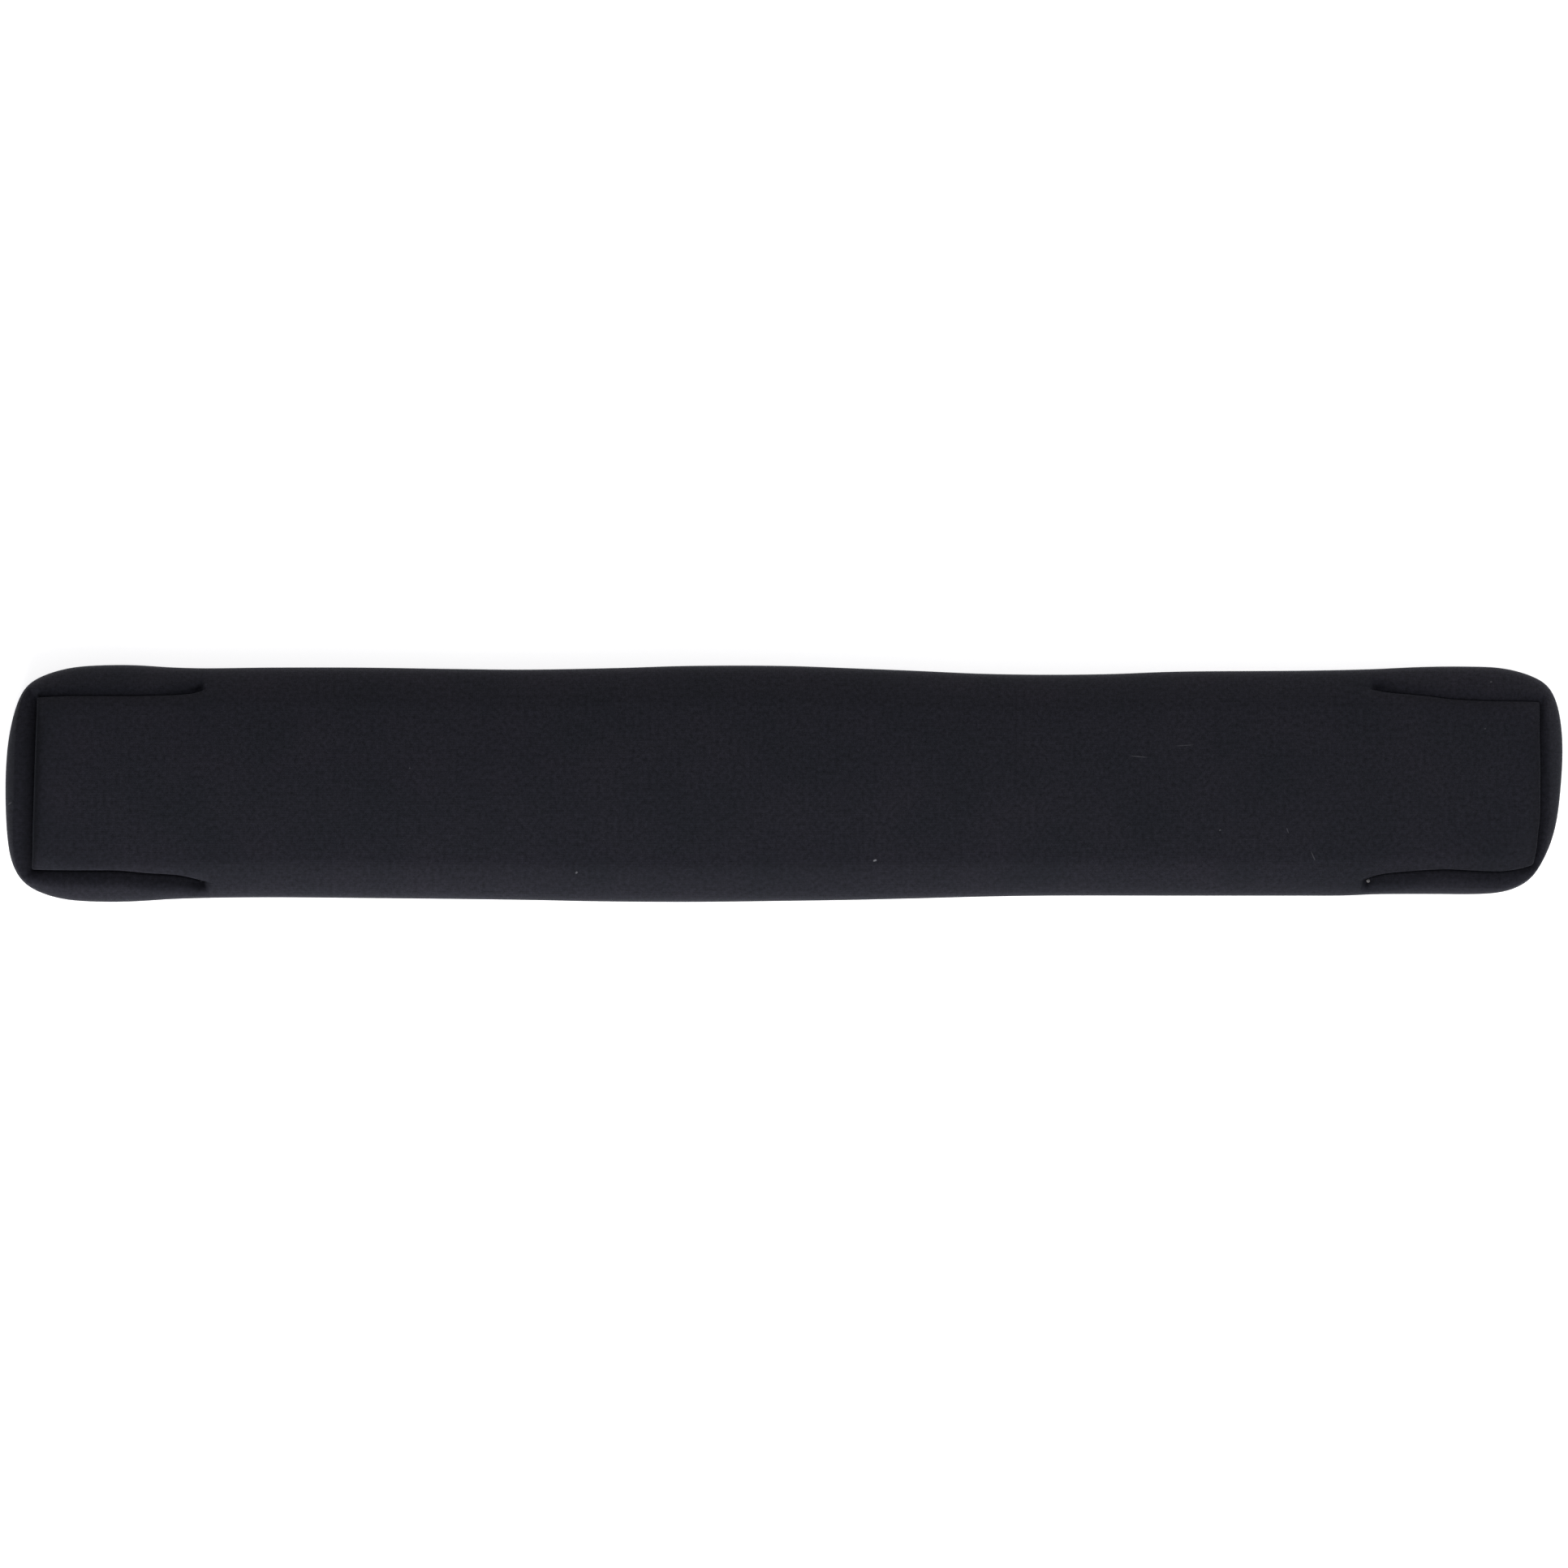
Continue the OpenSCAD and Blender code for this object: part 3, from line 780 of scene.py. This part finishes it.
class Threads:
    """Short lengths of two-ply thread, gathered into one mesh."""

    def __init__(self):
        self.co, self.faces, self.count = [], [], 0

    def add(self, path, radius, sides=10, twist=1.4):
        path = np.asarray(path, float)
        n = len(path)
        tan = np.gradient(path, axis=0)
        tan /= np.linalg.norm(tan, axis=1)[:, None]
        side = np.cross(tan, [0, 0, 1.0])
        side /= np.linalg.norm(side, axis=1)[:, None]
        up = np.cross(side, tan)
        s = np.concatenate([[0], np.cumsum(np.linalg.norm(np.diff(path, axis=0), axis=1))])
        ang = np.linspace(0, 2 * np.pi, sides, endpoint=False)
        ply = 1 + 0.16 * np.cos(2 * (ang[None] - s[:, None] * 2 * np.pi / twist))
        taper = np.sqrt(np.clip(np.minimum(s, s[-1] - s) / (radius * 0.8) + 0.12, 0, 1))
        r = radius * ply * taper[:, None]
        co = path[:, None] + (side[:, None] * np.cos(ang)[None, :, None] + up[:, None] * np.sin(ang)[None, :, None]) * r[..., None]
        base_ = self.count
        self.co.append(co.reshape(-1, 3))
        for i in range(n - 1):
            for j in range(sides):
                k = (j + 1) % sides
                self.faces.append((base_ + i * sides + j, base_ + i * sides + k,
                                   base_ + (i + 1) * sides + k, base_ + (i + 1) * sides + j))
        self.count += n * sides
        for at, order in ((0, 1), (n - 1, -1)):
            self.co.append(path[at][None])
            for j in range(sides):
                k = (j + 1) % sides
                tri = (base_ + at * sides + j, self.count, base_ + at * sides + k)
                self.faces.append(tri if order == 1 else tri[::-1])
            self.count += 1

    def build(self, name):
        mesh = bpy.data.meshes.new(name)
        mesh.from_pydata((np.vstack(self.co) * MM).tolist(), [], self.faces)
        mesh.polygons.foreach_set("use_smooth", np.ones(len(mesh.polygons), bool))
        mesh.update()
        obj = bpy.data.objects.new(name, mesh)
        bpy.context.scene.collection.objects.link(obj)
        return obj


def seam(ring, left, name):
    """Running stitches at the bottom of one slit, along its whole line."""
    rest = (ring.a > 0.97) & ((ring.c[:, 0] < 0) == left) & (np.abs(ring.c[:, 0]) > 100)
    i = np.where(rest)[0]
    if not left:  # the right end spans the ring's first point
        cut = np.where(np.diff(i) > 1)[0][0]
        i = np.concatenate([i[cut + 1:], i[:cut + 1]])
    p = ring.c[i] - ring.dir[i] * 0.2
    z = face_z(ring.c[i]) - dips(ring.c[i]) - ring.depth[i] + 0.12
    line = np.column_stack([p, z])
    s = np.concatenate([[0], np.cumsum(np.linalg.norm(np.diff(line, axis=0), axis=1))])
    out, at = Threads(), 2.0
    while at + 2.4 < s[-1] - 1:
        u = np.linspace(at, at + 2.4, 15)
        path = np.stack([np.interp(u, s, line[:, k]) for k in range(3)], 1)
        t = (u - at) / 2.4
        path[:, 2] -= 0.45 * (2 * t - 1) ** 4
        out.add(path, 0.17)
        at += 3.2
    return out.build(name)


def tack(ring, key, name):
    """Three short threads that hold a slit's inner end closed."""
    tx, ty = TIPS[key]
    left = tx < 0
    where = (ring.side == (1 if ty > 0 else 3)) & ((ring.c[:, 0] < 0) == left) & (np.abs(ring.c[:, 0]) > 100)
    i = np.where(where)[0]
    out = Threads()
    for past in (0.1, 0.7, 1.3):
        k = i[np.argmin(np.abs(ring.past[i] - past))]
        c, v = ring.c[k], ring.dir[k]
        e = np.linspace(-0.75, 0.45, 13)
        p = c + v * e[:, None]
        t = (e + 0.75) / 1.2
        z = face_z(p) - dips(p) - 2.85 - 0.3 * (2 * t - 1) ** 6
        out.add(np.column_stack([p, z]), 0.2)
    return out.build(name)


def fleck(name, place, radius):
    """A crumb of pale foam, lumpy and about round."""
    rng = np.random.default_rng(7)
    sides, rows = 16, 10
    lumps = rng.normal(size=(5, 3))
    co, faces = [], []
    for i in range(rows + 1):
        th = math.pi * i / rows
        for j in range(sides if 0 < i < rows else 1):
            ph = 2 * math.pi * j / sides
            d = np.array([math.sin(th) * math.cos(ph), math.sin(th) * math.sin(ph), math.cos(th)])
            r = radius * (1 + 0.1 * sum(math.sin(3 * d @ l + k) for k, l in enumerate(lumps)) / 2)
            co.append(np.array(place) + d * r * (1.15, 0.95, 0.8))
    ring_at = lambda i: 1 + (i - 1) * sides
    for j in range(sides):
        k = (j + 1) % sides
        faces.append((0, ring_at(1) + j, ring_at(1) + k))
        for i in range(1, rows - 1):
            faces.append((ring_at(i) + j, ring_at(i + 1) + j, ring_at(i + 1) + k, ring_at(i) + k))
        faces.append((ring_at(rows - 1) + k, ring_at(rows - 1) + j, len(co) - 1))
    mesh = bpy.data.meshes.new(name)
    mesh.from_pydata((np.array(co) * MM).tolist(), [], faces)
    mesh.polygons.foreach_set("use_smooth", np.ones(len(mesh.polygons), bool))
    obj = bpy.data.objects.new(name, mesh)
    bpy.context.scene.collection.objects.link(obj)
    return obj


finish_piece(build_base(), RUBBER, "rubber_base", "non_slip_base")
finish_piece(slab("glue_film", COARSE, 6.5, 2.0, 2.2, 0.04), GLUE, "adhesive", "base_adhesive")
comfort = finish_piece(build_comfort_foam(COARSE), SOFT, "soft_foam", "comfort_foam")
support = finish_piece(build_support_foam(COARSE), FIRM, "firm_foam", "support_foam")
finish_piece(seam(RING, True, "left_seam_thread"), THREAD, "thread", "left_closing_seam")
finish_piece(seam(RING, False, "right_seam_thread"), THREAD, "thread", "right_closing_seam")
for key in TIPS:
    finish_piece(tack(RING, key, key + "_tack_thread"), THREAD, "thread", key_node(key))
spot = np.array([[171.7, -28.7]])
crumb = fleck("foam_fleck", (171.7, -28.7, float(face_z(spot)[0] - dips(spot)[0] - 0.3)), 0.5)
crumb.data.materials.append(FLECK)
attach(crumb, "root")

# -------------------------------------------------- floor, light and camera
def build_stage():
    s = 6.0
    mesh = bpy.data.meshes.new("floor")
    mesh.from_pydata([(-s, -s, 0), (s, -s, 0), (s, s, 0), (-s, s, 0)], [], [(0, 1, 2, 3)])
    floor = bpy.data.objects.new("floor", mesh)
    bpy.context.scene.collection.objects.link(floor)
    floor.location.z = -0.00005
    m, nt, b = material("pale_floor")
    b.inputs["Base Color"].default_value = (0.86, 0.86, 0.86, 1)
    b.inputs["Roughness"].default_value = 0.9
    b.inputs["Specular IOR Level"].default_value = 0.1
    b.inputs["Emission Color"].default_value = (1, 1, 1, 1)
    b.inputs["Emission Strength"].default_value = 0.5
    floor.data.materials.append(m)
    world = bpy.data.worlds.new("studio")
    bpy.context.scene.world = world
    world.use_nodes = True
    bg = world.node_tree.nodes["Background"]
    bg.inputs["Color"].default_value = (0.95, 0.97, 1.0, 1)
    bg.inputs["Strength"].default_value = 0.28
    for name, place, size, power, colour in (
            ("key", (0.45, -1.1, 1.25), (1.6, 0.9), 18.5, (1, 0.99, 0.985)),
            ("near", (-0.24, -0.62, 0.2), (0.3, 0.2), 5.8, (1, 0.985, 1)),
            ("top", (-0.1, 0.8, 2.2), (2.4, 1.8), 20, (0.98, 0.98, 1)),
            ("side", (0.62, 0.05, 0.28), (0.3, 0.3), 0.75, (1, 0.99, 0.985)),
            ("rim", (0.0, 1.9, 0.2), (2.6, 0.25), 19.5, (1, 0.9, 0.86))):
        light = bpy.data.lights.new(name, "AREA")
        light.shape = "RECTANGLE"
        light.size, light.size_y = size
        light.energy = power
        light.color = colour
        o = bpy.data.objects.new(name, light)
        bpy.context.scene.collection.objects.link(o)
        o.location = place
        v = -np.array(place) / np.linalg.norm(place)
        from mathutils import Vector
        o.rotation_mode = "QUATERNION"
        o.rotation_quaternion = Vector(v).to_track_quat("-Z", "Y")
        o.visible_camera = False
    cam = bpy.data.cameras.new("camera")
    cam.type = "PERSP"
    cam.sensor_width = 36
    cam.lens = 400
    cam.clip_start, cam.clip_end = 0.1, 50
    o = bpy.data.objects.new("camera", cam)
    bpy.context.scene.collection.objects.link(o)
    view_mm = 1932 * 457.0 / 1915.0
    o.location = (0.00012, -0.00024, view_mm * MM * 400 / 36 + Z_EQ * MM)
    bpy.context.scene.camera = o


build_stage()
scene = bpy.context.scene
scene.view_settings.view_transform = "Standard"
scene.view_settings.look = "None"
